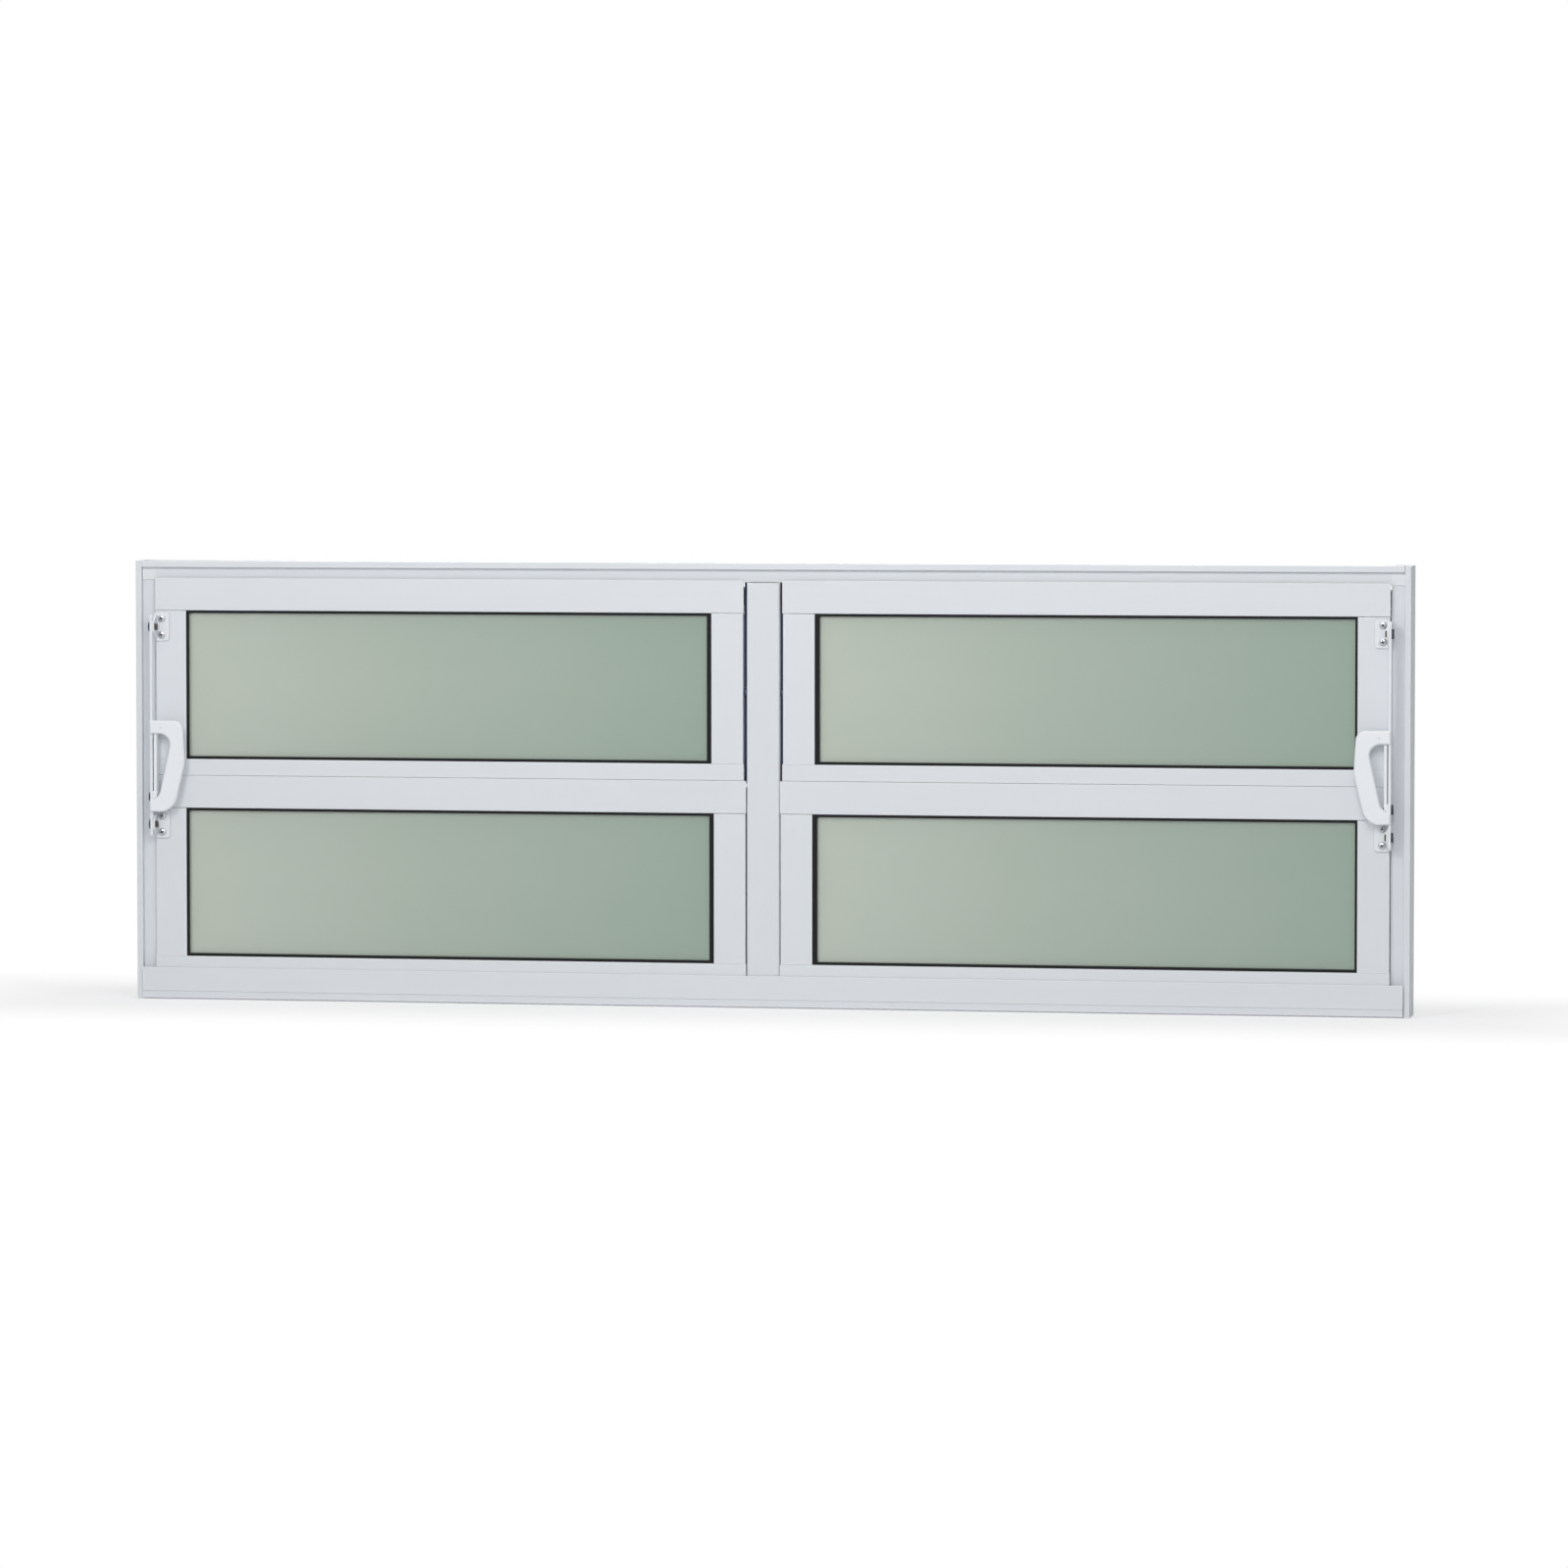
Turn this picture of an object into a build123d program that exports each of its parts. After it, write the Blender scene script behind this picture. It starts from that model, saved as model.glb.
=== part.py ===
"""Pivot window of white coated aluminium: two banks of two tilting leaves, a link lever on each jamb.

Millimetres. X runs to the right as seen from indoors, Y towards outdoors, Z up.
The origin is the centre of the sill underside.
"""

import os

from build123d import *

os.makedirs("parts", exist_ok=True)

# Whole window
width = 1200.0
height = 412.0
depth = 36.0
wall = 1.6
edge_round = 0.7
crest_fullness = 0.8

# Outer frame
jamb_lip = 5.6
head_lip = 6.2
recess = 4.0
cope = 1.0
jamb_width = 18.2
head_height = 18.0
sill_floor = 16.0
sill_lip = 7.5
sill_top = 29.6
sill_nose = 2.5
sill_step = 0.6
step_round = 0.5
drip_rise = 1.0
drip_depth = 1.4
mullion_width = 31.0
mullion_setback = 0.5
mullion_round = 2.4
groove_depth = 0.8
groove_width = 6.0
groove_inset = 6.0

# Leaves
leaf_depth = 22.0
head_overlap = 1.8
sill_overlap = 7.3
leaf_overlap = 2.6
flange = 6.0
top_rail_height = 30.3
bottom_rail_height = 18.2
tongue_height = 2.8
tongue_setback = 2.2
outer_stile_width = 29.5
inner_stile_width = 29.8
outer_overhang = 0.3
inner_overhang = 0.6
joint_gap = 0.3
upper_mullion_gap = 2.8
lower_mullion_gap = 0.5
upper_jamb_gap = 0.7
lower_jamb_gap = 0.3

# Glazing
glass_thickness = 5.0
glass_bite = 4.0
pocket_depth = 5.6
pad = 1.9
bead_rise = 1.0
bead_top = 2.6
bead_outer = 2.2
bead_inner = 4.2

# Pivots, and seals beside the mullion
pivot_drop = 9.8
pivot_depth = 9.0
mullion_pivot = 9.4
jamb_pivot = 5.0
pivot_reach = 4.5
seal_width = 4.0
seal_clearance = 0.2

# Levers
pin_above_pivot = 58.2
ear_inset = 1.0
plate = 1.6
bracket_height = 26.4
bracket_width = 13.5
bracket_round = 2.8
ear_tip = 9.0
ear_round = 3.5
bar_thickness = 2.4
bar_width = 9.5
bar_end = 11.5
bar_round = 2.8
bar_gap = 0.8
slide_gap = 0.2
pin_diameter = 6.0
pin_end = 1.8
pin_head = 9.0
head_thickness = 1.6
rivet_diameter = 4.0
rivet_end = 1.0
hole_clearance = 0.1

# Lever handle, an open D
handle_width = 34.0
handle_height = 86.3
handle_rise = 11.2
handle_thickness = 2.6
handle_bevel = 1.2
crown_band = 12.3
foot_band = 10.6
side_lean = 2.3
waist_drop = 39.5
heel_run = 22.7
toe_lift = 1.0
eye_inset = 11.9
sweep_run = 8.7
sweep_rise = 13.6
shoulder_round = 9.0
waist_round = 30.0
heel_round = 17.0
sweep_round = 11.0
eye_round = 10.3
rib_thickness = 2.8
rib_depth = 8.0
rib_gap = 1.2
boss_height = 19.0
rivet_rise = 14.4

# Places that follow from the sizes above
half = width / 2
front = -depth / 2
back = depth / 2
floor = front + recess
jamb_floor = floor + cope
jamb_face = half - jamb_width
opening_half = half - jamb_lip
span_half = opening_half - joint_gap
head_low = height - head_height
nose = front - sill_nose
foot = nose + sill_step
crest_round = crest_fullness * wall
groove_rows = (front + recess + groove_inset, back - groove_inset)
mullion_half = mullion_width / 2
leaf_back = front + leaf_depth
leaf_low = sill_top - sill_overlap
leaf_high = head_low + head_overlap
leaf_height = (leaf_high - leaf_low + leaf_overlap) / 2
leaf_pitch = leaf_height - leaf_overlap
pocket_front = front + wall
glass_front = pocket_front + pad
glass_back = glass_front + glass_thickness
pocket_back = glass_back + pad
pivot_y = front + pivot_depth
pivot_rise = leaf_height / 2 - pivot_drop
pivot_rows = (leaf_low + pivot_rise, leaf_low + leaf_pitch + pivot_rise)
lower_pin = leaf_low + pivot_rise + pin_above_pivot
upper_pin = lower_pin + leaf_pitch
ear_x = jamb_face - ear_inset
bar_x = ear_x + slide_gap
bar_out = bar_x + bar_thickness
bar_back = front - plate - bar_gap
bar_front = bar_back - bar_width
pin_y = (bar_back + bar_front) / 2
handle_low = lower_pin + handle_rise
handle_high = handle_low + handle_height
handle_in = bar_out - handle_width
crown_low = handle_high - crown_band
foot_top = handle_low + toe_lift + foot_band
rib_out = bar_x - rib_gap
rib_in = rib_out - rib_thickness
rivet_z = handle_low + rivet_rise
room_side = Plane(origin=(0, 0, 0), x_dir=(1, 0, 0), z_dir=(0, -1, 0))


def save(part, name):
    """Label one finished piece and write it as a STEP file."""
    part.label = name
    export_step(part, f"parts/{name}.step")


def save_pair(part, piece, row=""):
    """Write a right-hand piece and its left-hand mirror image."""
    save(part, f"{row}right_{piece}")
    save(mirror(part, about=Plane.YZ), f"{row}left_{piece}")


def along_x(x, z):
    """Location at the pivot depth with its axis along X, for pivot pins and their holes."""
    return Location((x, pivot_y, z), (0, 90, 0))


def lever_axis(x, z):
    """Location at the lever pin depth with its axis along X."""
    return Location((x, pin_y, z), (0, 90, 0))


def block(x0, x1, y0, y1, z0, z1, mode=Mode.ADD):
    """Add or take away a box given by its limits in the part under way."""
    with Locations(((x0 + x1) / 2, (y0 + y1) / 2, (z0 + z1) / 2)):
        Box(x1 - x0, y1 - y0, z1 - z0, mode=mode)


# Jambs: hollow, lipped towards the room, grooved on the wall side, bored for the leaf pivots
with BuildPart() as jamb:
    with BuildSketch(Plane.XY):
        with BuildLine():
            Polyline(
                (opening_half, front),
                (half, front),
                (half, back),
                (jamb_face, back),
                (jamb_face, jamb_floor),
                (opening_half, jamb_floor),
                close=True,
            )
        make_face()
        fillet(vertices().group_by(Axis.Y)[0], radius=edge_round)
        with Locations(*[(half, y) for y in groove_rows]):
            Rectangle(2 * groove_depth, groove_width, mode=Mode.SUBTRACT)
        with Locations(((jamb_face + half - groove_depth) / 2, (jamb_floor + back) / 2)):
            Rectangle(
                jamb_width - groove_depth - 2 * wall,
                back - jamb_floor - 2 * wall,
                mode=Mode.SUBTRACT,
            )
    extrude(amount=height)
    with Locations(*[along_x(jamb_face, z) for z in pivot_rows]):
        Cylinder(jamb_pivot / 2 + hole_clearance, 2 * pivot_reach, mode=Mode.SUBTRACT)
save_pair(jamb.part, "jamb")

# Head: the same lip and grooves, coped at both ends so that its recess face laps over the jambs
with BuildPart() as head:
    with BuildSketch(Plane.YZ.offset(-span_half)):
        with BuildLine():
            Polyline(
                (front, height - head_lip),
                (front, height),
                (back, height),
                (back, head_low),
                (floor, head_low),
                (floor, height - head_lip),
                close=True,
            )
        make_face()
        fillet(vertices().group_by(Axis.X)[0], radius=edge_round)
        with Locations(*[(y, height) for y in groove_rows]):
            Rectangle(groove_width, 2 * groove_depth, mode=Mode.SUBTRACT)
        with Locations(((floor + back) / 2, (head_low + height - groove_depth) / 2)):
            Rectangle(
                back - floor - 2 * wall,
                head_height - groove_depth - 2 * wall,
                mode=Mode.SUBTRACT,
            )
    extrude(amount=2 * span_half)
    for x0, x1 in ((-span_half, -jamb_face), (jamb_face, span_half)):
        block(x0, x1, jamb_floor, back, head_low, height, mode=Mode.SUBTRACT)
save(head.part, "head")

# Sill: lower lip with a drip edge, upstand with a rounded crest in front of the leaves, hollow body
with BuildPart() as sill:
    with BuildSketch(Plane.YZ.offset(-span_half)):
        with BuildLine():
            Polyline(
                (foot + drip_depth, 0),
                (foot + drip_depth, drip_rise),
                (foot, drip_rise),
                (foot, sill_lip),
                (nose, sill_lip),
                (nose, sill_top),
                (nose + wall, sill_top),
                (nose + wall, sill_floor),
                (back, sill_floor),
                (back, 0),
                close=True,
            )
        make_face()
        nose_edges = vertices().group_by(Axis.X)[0].sort_by(Axis.Y)
        fillet(nose_edges[0], radius=step_round)
        fillet(nose_edges[-1], radius=crest_round)
        with Locations(((foot + back) / 2, sill_floor / 2)):
            Rectangle(back - foot - 2 * wall, sill_floor - 2 * wall, mode=Mode.SUBTRACT)
    extrude(amount=2 * span_half)
    for x0, x1 in ((-span_half, -jamb_face), (jamb_face, span_half)):
        block(x0, x1, jamb_floor, back, 0, sill_floor, mode=Mode.SUBTRACT)
save(sill.part, "sill")

# Mullion: hollow box with rounded room-side edges, bored through for the pivots of both banks
with BuildPart() as mullion:
    with BuildSketch(Plane.XY.offset(sill_floor)):
        with Locations((0, (front + mullion_setback + back) / 2)):
            Rectangle(mullion_width, depth - mullion_setback)
            fillet(vertices().group_by(Axis.Y)[0], radius=mullion_round)
            Rectangle(mullion_width - 2 * wall, depth - mullion_setback - 2 * wall, mode=Mode.SUBTRACT)
    extrude(amount=head_low - joint_gap - sill_floor)
    with Locations(*[along_x(0, z) for z in pivot_rows]):
        Cylinder(mullion_pivot / 2 + hole_clearance, 2 * mullion_width, mode=Mode.SUBTRACT)
save(mullion.part, "mullion")


def top_rail(inner, outer, top):
    """Hollow top rail with a glazing pocket below and a flange that laps over what is above."""
    low = top - top_rail_height
    with BuildPart() as piece:
        with BuildSketch(Plane.YZ.offset(inner)):
            with BuildLine():
                Polyline(
                    (front, low),
                    (front, top),
                    (pocket_front, top),
                    (pocket_front, top - flange),
                    (leaf_back, top - flange),
                    (leaf_back, low + pocket_depth),
                    (pocket_back + wall, low + pocket_depth),
                    (pocket_back + wall, low),
                    (pocket_back, low),
                    (pocket_back, low + pocket_depth),
                    (pocket_front, low + pocket_depth),
                    (pocket_front, low),
                    close=True,
                )
            make_face()
            face_edges = vertices().group_by(Axis.X)[0].sort_by(Axis.Y)
            fillet(face_edges[0], radius=edge_round)
            fillet(face_edges[-1], radius=crest_round)
            with Locations(((front + leaf_back) / 2, (low + pocket_depth + top - flange) / 2)):
                Rectangle(
                    leaf_depth - 2 * wall,
                    top_rail_height - flange - pocket_depth - 2 * wall,
                    mode=Mode.SUBTRACT,
                )
        extrude(amount=outer - inner)
    return piece.part


def bottom_rail(inner, outer, low):
    """Hollow bottom rail with a glazing pocket above and a tongue set back from its face."""
    top = low + bottom_rail_height
    tongue = front + tongue_setback
    with BuildPart() as piece:
        with BuildSketch(Plane.YZ.offset(inner)):
            with BuildLine():
                Polyline(
                    (front, top),
                    (front, low + tongue_height),
                    (tongue, low + tongue_height),
                    (tongue, low),
                    (leaf_back, low),
                    (leaf_back, top - pocket_depth),
                    (pocket_back + wall, top - pocket_depth),
                    (pocket_back + wall, top),
                    (pocket_back, top),
                    (pocket_back, top - pocket_depth),
                    (pocket_front, top - pocket_depth),
                    (pocket_front, top),
                    close=True,
                )
            make_face()
            fillet(vertices().group_by(Axis.X)[0], radius=edge_round)
            with Locations(((tongue + leaf_back) / 2, (low + top - pocket_depth) / 2)):
                Rectangle(
                    leaf_depth - tongue_setback - 2 * wall,
                    bottom_rail_height - pocket_depth - 2 * wall,
                    mode=Mode.SUBTRACT,
                )
        extrude(amount=outer - inner)
    return piece.part


def stile(edge, sight, low, high):
    """Hollow stile on the bottom rail; edge is its free side, sight the line where the glass begins."""
    turn = 1 if sight > edge else -1
    pocket = sight - turn * pocket_depth
    with BuildPart() as piece:
        with BuildSketch(Plane.XY.offset(low)):
            with BuildLine():
                Polyline(
                    (edge, front),
                    (sight, front),
                    (sight, pocket_front),
                    (pocket, pocket_front),
                    (pocket, pocket_back),
                    (sight, pocket_back),
                    (sight, pocket_back + wall),
                    (pocket, pocket_back + wall),
                    (pocket, leaf_back),
                    (edge, leaf_back),
                    close=True,
                )
            make_face()
            fillet(vertices().group_by(Axis.Y)[0], radius=edge_round)
            with Locations(((edge + pocket) / 2, (front + leaf_back) / 2)):
                Rectangle(
                    abs(pocket - edge) - 2 * wall,
                    leaf_depth - 2 * wall,
                    mode=Mode.SUBTRACT,
                )
        extrude(amount=high - low - joint_gap)
    return piece.part


def glass(left, right, low, high):
    """Pane that reaches into the glazing pockets all round."""
    with BuildPart() as piece:
        block(
            left - glass_bite,
            right + glass_bite,
            glass_front,
            glass_back,
            low - glass_bite,
            high + glass_bite,
        )
    return piece.part


def gasket(left, right, low, high, seals, pivot_z):
    """Glazing gasket round the pane, and seal strips beside the mullion, broken at the pivot."""
    with BuildPart() as piece:
        block(
            left - pocket_depth,
            right + pocket_depth,
            pocket_front,
            pocket_back,
            low - pocket_depth,
            high + pocket_depth,
        )
        block(left, right, pocket_front - bead_rise, pocket_back + bead_rise, low, high)
        block(
            left + bead_inner,
            right - bead_outer,
            pocket_front - bead_rise,
            pocket_back + bead_rise,
            low + bead_top,
            high - bead_top,
            mode=Mode.SUBTRACT,
        )
        block(
            left - glass_bite,
            right + glass_bite,
            glass_front,
            glass_back,
            low - glass_bite,
            high + glass_bite,
            mode=Mode.SUBTRACT,
        )
        free = mullion_pivot / 2 + seal_clearance
        for near, far, bottom, top in seals:
            for z0, z1 in ((bottom, pivot_z - free), (pivot_z + free, top)):
                block(near, far, pivot_y - seal_width / 2, pivot_y + seal_width / 2, z0, z1)
    return piece.part


def pivots(mullion_end, jamb_end, pivot_z):
    """Two stub pivots fixed to the stiles: one turns in the mullion, one in the jamb."""
    with BuildPart() as piece:
        for x0, x1, diameter in (
            (mullion_half - pivot_reach, mullion_end, mullion_pivot),
            (jamb_end, jamb_face + pivot_reach, jamb_pivot),
        ):
            with Locations(along_x((x0 + x1) / 2, pivot_z)):
                Cylinder(diameter / 2, x1 - x0)
    return piece.part


def bracket(pin_z):
    """Angle bracket: a plate on the stile face, an ear towards the room bored for the lever pin."""
    with BuildPart() as piece:
        with BuildSketch(room_side.offset(-front)):
            with Locations((ear_x - bracket_width / 2, pin_z)):
                Rectangle(bracket_width, bracket_height)
            fillet(vertices().group_by(Axis.X)[0], radius=bracket_round)
        extrude(amount=plate)
        with BuildSketch(Plane.YZ.offset(ear_x - plate)):
            with BuildLine():
                Polyline(
                    (front, pin_z - bracket_height / 2),
                    (front, pin_z + bracket_height / 2),
                    (bar_front, pin_z + ear_tip / 2),
                    (bar_front, pin_z - ear_tip / 2),
                    close=True,
                )
            make_face()
            fillet(vertices().group_by(Axis.X)[0], radius=ear_round)
            with Locations((pin_y, pin_z)):
                Circle(pin_diameter / 2 + hole_clearance, mode=Mode.SUBTRACT)
        extrude(amount=plate)
    return piece.part


# Four leaves, two in each bank; the end gaps of the upper pair are wider
for row, low, overlap, mullion_gap, jamb_gap in (
    ("lower_", leaf_low, leaf_overlap, lower_mullion_gap, lower_jamb_gap),
    ("upper_", leaf_low + leaf_pitch, head_overlap, upper_mullion_gap, upper_jamb_gap),
):
    rail_in = mullion_half + mullion_gap
    rail_out = jamb_face - jamb_gap
    stile_in = rail_in + inner_overhang
    stile_out = rail_out - outer_overhang
    leaf_top = low + leaf_height
    pivot_z = low + pivot_rise
    left = stile_in + inner_stile_width
    right = stile_out - outer_stile_width
    sill_line = low + bottom_rail_height
    head_line = leaf_top - top_rail_height
    seals = (
        (mullion_half + seal_clearance, rail_in, low, leaf_top - overlap - seal_clearance),
        (rail_in, stile_in, sill_line + joint_gap, head_line - joint_gap),
    )
    save_pair(top_rail(rail_in, rail_out, leaf_top), "top_rail", row)
    save_pair(bottom_rail(rail_in, rail_out, low), "bottom_rail", row)
    save_pair(stile(stile_in, left, sill_line, head_line), "inner_stile", row)
    save_pair(stile(stile_out, right, sill_line, head_line), "outer_stile", row)
    save_pair(glass(left, right, sill_line, head_line), "glass", row)
    save_pair(gasket(left, right, sill_line, head_line, seals, pivot_z), "gasket", row)
    save_pair(pivots(stile_in, stile_out, pivot_z), "pivots", row)
    save_pair(bracket(pivot_z + pin_above_pivot), "bracket", row)

# Lever bar: a flat link on edge, bored for the two bracket pins and the handle rivet
with BuildPart() as bar:
    with BuildSketch(Plane.YZ.offset(bar_x)):
        with Locations((pin_y, (lower_pin + upper_pin) / 2)):
            Rectangle(bar_width, leaf_pitch + 2 * bar_end)
        fillet(vertices(), radius=bar_round)
        with Locations((pin_y, lower_pin), (pin_y, upper_pin)):
            Circle(pin_diameter / 2 + hole_clearance, mode=Mode.SUBTRACT)
        with Locations((pin_y, rivet_z)):
            Circle(rivet_diameter / 2 + hole_clearance, mode=Mode.SUBTRACT)
    extrude(amount=bar_thickness)
save_pair(bar.part, "lever_bar")

# Handle: an open D of bevelled plate across the front of the bar, with a rib and two bosses beside it
with BuildPart() as handle:
    with BuildSketch(room_side.offset(-bar_front)):
        with BuildLine():
            outer = FilletPolyline(
                (bar_out, handle_high),
                (handle_in + side_lean, handle_high),
                (handle_in, handle_high - waist_drop),
                (bar_out - heel_run, handle_low),
                (bar_out, handle_low + toe_lift),
                radius=[shoulder_round, waist_round, heel_round],
            )
            foot = Line(outer @ 1, (bar_out, foot_top))
            inner = FilletPolyline(
                foot @ 1,
                (bar_out - sweep_run, handle_low + sweep_rise),
                (handle_in + eye_inset, crown_low),
                (bar_out, crown_low),
                radius=[sweep_round, eye_round],
            )
            Line(inner @ 1, outer @ 0)
        make_face()
    extrude(amount=handle_thickness)
    chamfer(faces().sort_by(Axis.Y)[0].edges(), length=handle_bevel)
    rib_back = bar_front + rib_depth
    block(rib_in, rib_out, bar_front, rib_back, handle_low + toe_lift, handle_high)
    for boss_low, boss_high in (
        (handle_low + toe_lift, handle_low + toe_lift + boss_height),
        (crown_low, handle_high),
    ):
        block(rib_out, bar_x, bar_front, rib_back, boss_low, boss_high)
    with Locations(lever_axis((rib_in + bar_x) / 2, rivet_z)):
        Cylinder(rivet_diameter / 2 + hole_clearance, bar_x - rib_in, mode=Mode.SUBTRACT)
save_pair(handle.part, "lever_handle")

# Lever pins: two bracket pins and the handle rivet, headed on the jamb side
with BuildPart() as pins:
    for pin_z, radius, tail in (
        (lower_pin, pin_diameter / 2, ear_x - plate - pin_end),
        (upper_pin, pin_diameter / 2, ear_x - plate - pin_end),
        (rivet_z, rivet_diameter / 2, rib_in - rivet_end),
    ):
        with Locations(lever_axis((tail + bar_out) / 2, pin_z)):
            Cylinder(radius, bar_out - tail)
        with Locations(lever_axis(bar_out + head_thickness / 2, pin_z)):
            Cylinder(pin_head / 2, head_thickness)
save_pair(pins.part, "lever_pins")
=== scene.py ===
"""Looks of a white aluminium pivot window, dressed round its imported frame.

Metres. X runs to the right as seen from indoors, Y towards outdoors, Z up.
"""

import logging
import math
from dataclasses import dataclass
from enum import Enum
from typing import Any, Callable, Iterator

import bpy
from mathutils import Matrix, Vector


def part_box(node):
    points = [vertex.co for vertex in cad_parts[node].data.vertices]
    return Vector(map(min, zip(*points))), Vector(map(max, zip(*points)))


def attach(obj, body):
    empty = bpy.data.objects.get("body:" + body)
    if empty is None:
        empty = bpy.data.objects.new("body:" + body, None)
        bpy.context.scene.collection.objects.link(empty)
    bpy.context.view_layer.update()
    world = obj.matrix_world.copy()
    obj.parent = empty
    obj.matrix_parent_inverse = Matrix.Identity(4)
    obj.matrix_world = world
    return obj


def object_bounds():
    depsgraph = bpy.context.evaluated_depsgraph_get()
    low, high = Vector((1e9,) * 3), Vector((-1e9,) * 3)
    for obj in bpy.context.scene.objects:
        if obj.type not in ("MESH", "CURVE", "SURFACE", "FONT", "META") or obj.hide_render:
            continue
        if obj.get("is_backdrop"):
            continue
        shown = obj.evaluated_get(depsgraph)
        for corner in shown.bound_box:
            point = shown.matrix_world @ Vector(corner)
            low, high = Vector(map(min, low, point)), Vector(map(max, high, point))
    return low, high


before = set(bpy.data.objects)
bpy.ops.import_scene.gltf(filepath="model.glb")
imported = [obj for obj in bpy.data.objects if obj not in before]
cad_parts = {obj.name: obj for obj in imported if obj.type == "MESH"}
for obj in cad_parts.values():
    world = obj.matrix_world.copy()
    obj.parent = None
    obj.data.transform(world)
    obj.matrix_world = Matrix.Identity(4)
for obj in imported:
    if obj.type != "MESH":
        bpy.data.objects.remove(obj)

CAD_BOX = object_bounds()
BODY = "root"
MM = 0.001
LOG = logging.getLogger("pivot_window")

Colour = tuple[float, float, float, float]
Scale = tuple[float, float, float]
Value = Any

WHITE: Colour = (1.0, 1.0, 1.0, 1.0)
# Middle of a noise that runs from 0 to 1
MIDDLE = 0.5
# Least cosine between a face's normal and the way that it looks
FACING = 0.9


def srgb(red: int, green: int, blue: int) -> Colour:
    """Linear colour of a screen colour.

    Args:
        red, green, blue: Screen values from 0 to 255.

    Returns:
        The linear red, green and blue, and full opacity.
    """
    def linear(level: int) -> float:
        """Linear value of one screen level."""
        share = level / 255
        return share / 12.92 if share <= 0.04045 else ((share + 0.055) / 1.055) ** 2.4

    return linear(red), linear(green), linear(blue), 1.0


class Side(Enum):
    """The two banks of the window, as seen from indoors."""

    LEFT = "left"
    RIGHT = "right"

    @property
    def sign(self) -> int:
        """Direction of the bank along X."""
        return 1 if self is Side.RIGHT else -1


class Row(Enum):
    """The two leaves of a bank."""

    UPPER = "upper"
    LOWER = "lower"


class Run(Enum):
    """The way a profile was drawn, as stretched scales of its fine drawing lines."""

    ALONG_X = (3.0, 420.0, 420.0)
    ALONG_Z = (420.0, 420.0, 3.0)
    NONE = (150.0, 150.0, 150.0)


class Signal:
    """An output socket that takes part in Python arithmetic."""

    def __init__(self, bench: "Bench", socket: bpy.types.NodeSocket | None) -> None:
        """Keep the bench that the socket's node is on, and the socket."""
        self.bench = bench
        self.socket = socket

    def _math(self, operation: str, left: Value, right: Value = 0.0) -> "Signal":
        """Add one Math node.

        Args:
            operation: The node's operation.
            left: Its first value or signal.
            right: Its second value or signal.

        Returns:
            The node's result.
        """
        return self.bench.node("ShaderNodeMath", {"operation": operation}, {0: left, 1: right})

    def __add__(self, other: Value) -> "Signal":
        """This signal plus another value."""
        return self._math("ADD", self, other)

    def __radd__(self, other: Value) -> "Signal":
        """Another value plus this signal."""
        return self._math("ADD", other, self)

    def __sub__(self, other: Value) -> "Signal":
        """This signal minus another value."""
        return self._math("SUBTRACT", self, other)

    def __rsub__(self, other: Value) -> "Signal":
        """Another value minus this signal."""
        return self._math("SUBTRACT", other, self)

    def __mul__(self, other: Value) -> "Signal":
        """This signal times another value."""
        return self._math("MULTIPLY", self, other)

    def __truediv__(self, other: Value) -> "Signal":
        """This signal divided by another value."""
        return self._math("DIVIDE", self, other)

    def __pow__(self, other: Value) -> "Signal":
        """This signal raised to a power."""
        return self._math("POWER", self, other)

    def __abs__(self) -> "Signal":
        """This signal without its sign."""
        return self._math("ABSOLUTE", self)

    def above(self, limit: Value) -> "Signal":
        """One where this signal is above a limit, zero elsewhere."""
        return self._math("GREATER_THAN", self, limit)

    def largest(self, other: Value) -> "Signal":
        """The larger of this signal and another value."""
        return self._math("MAXIMUM", self, other)


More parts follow.
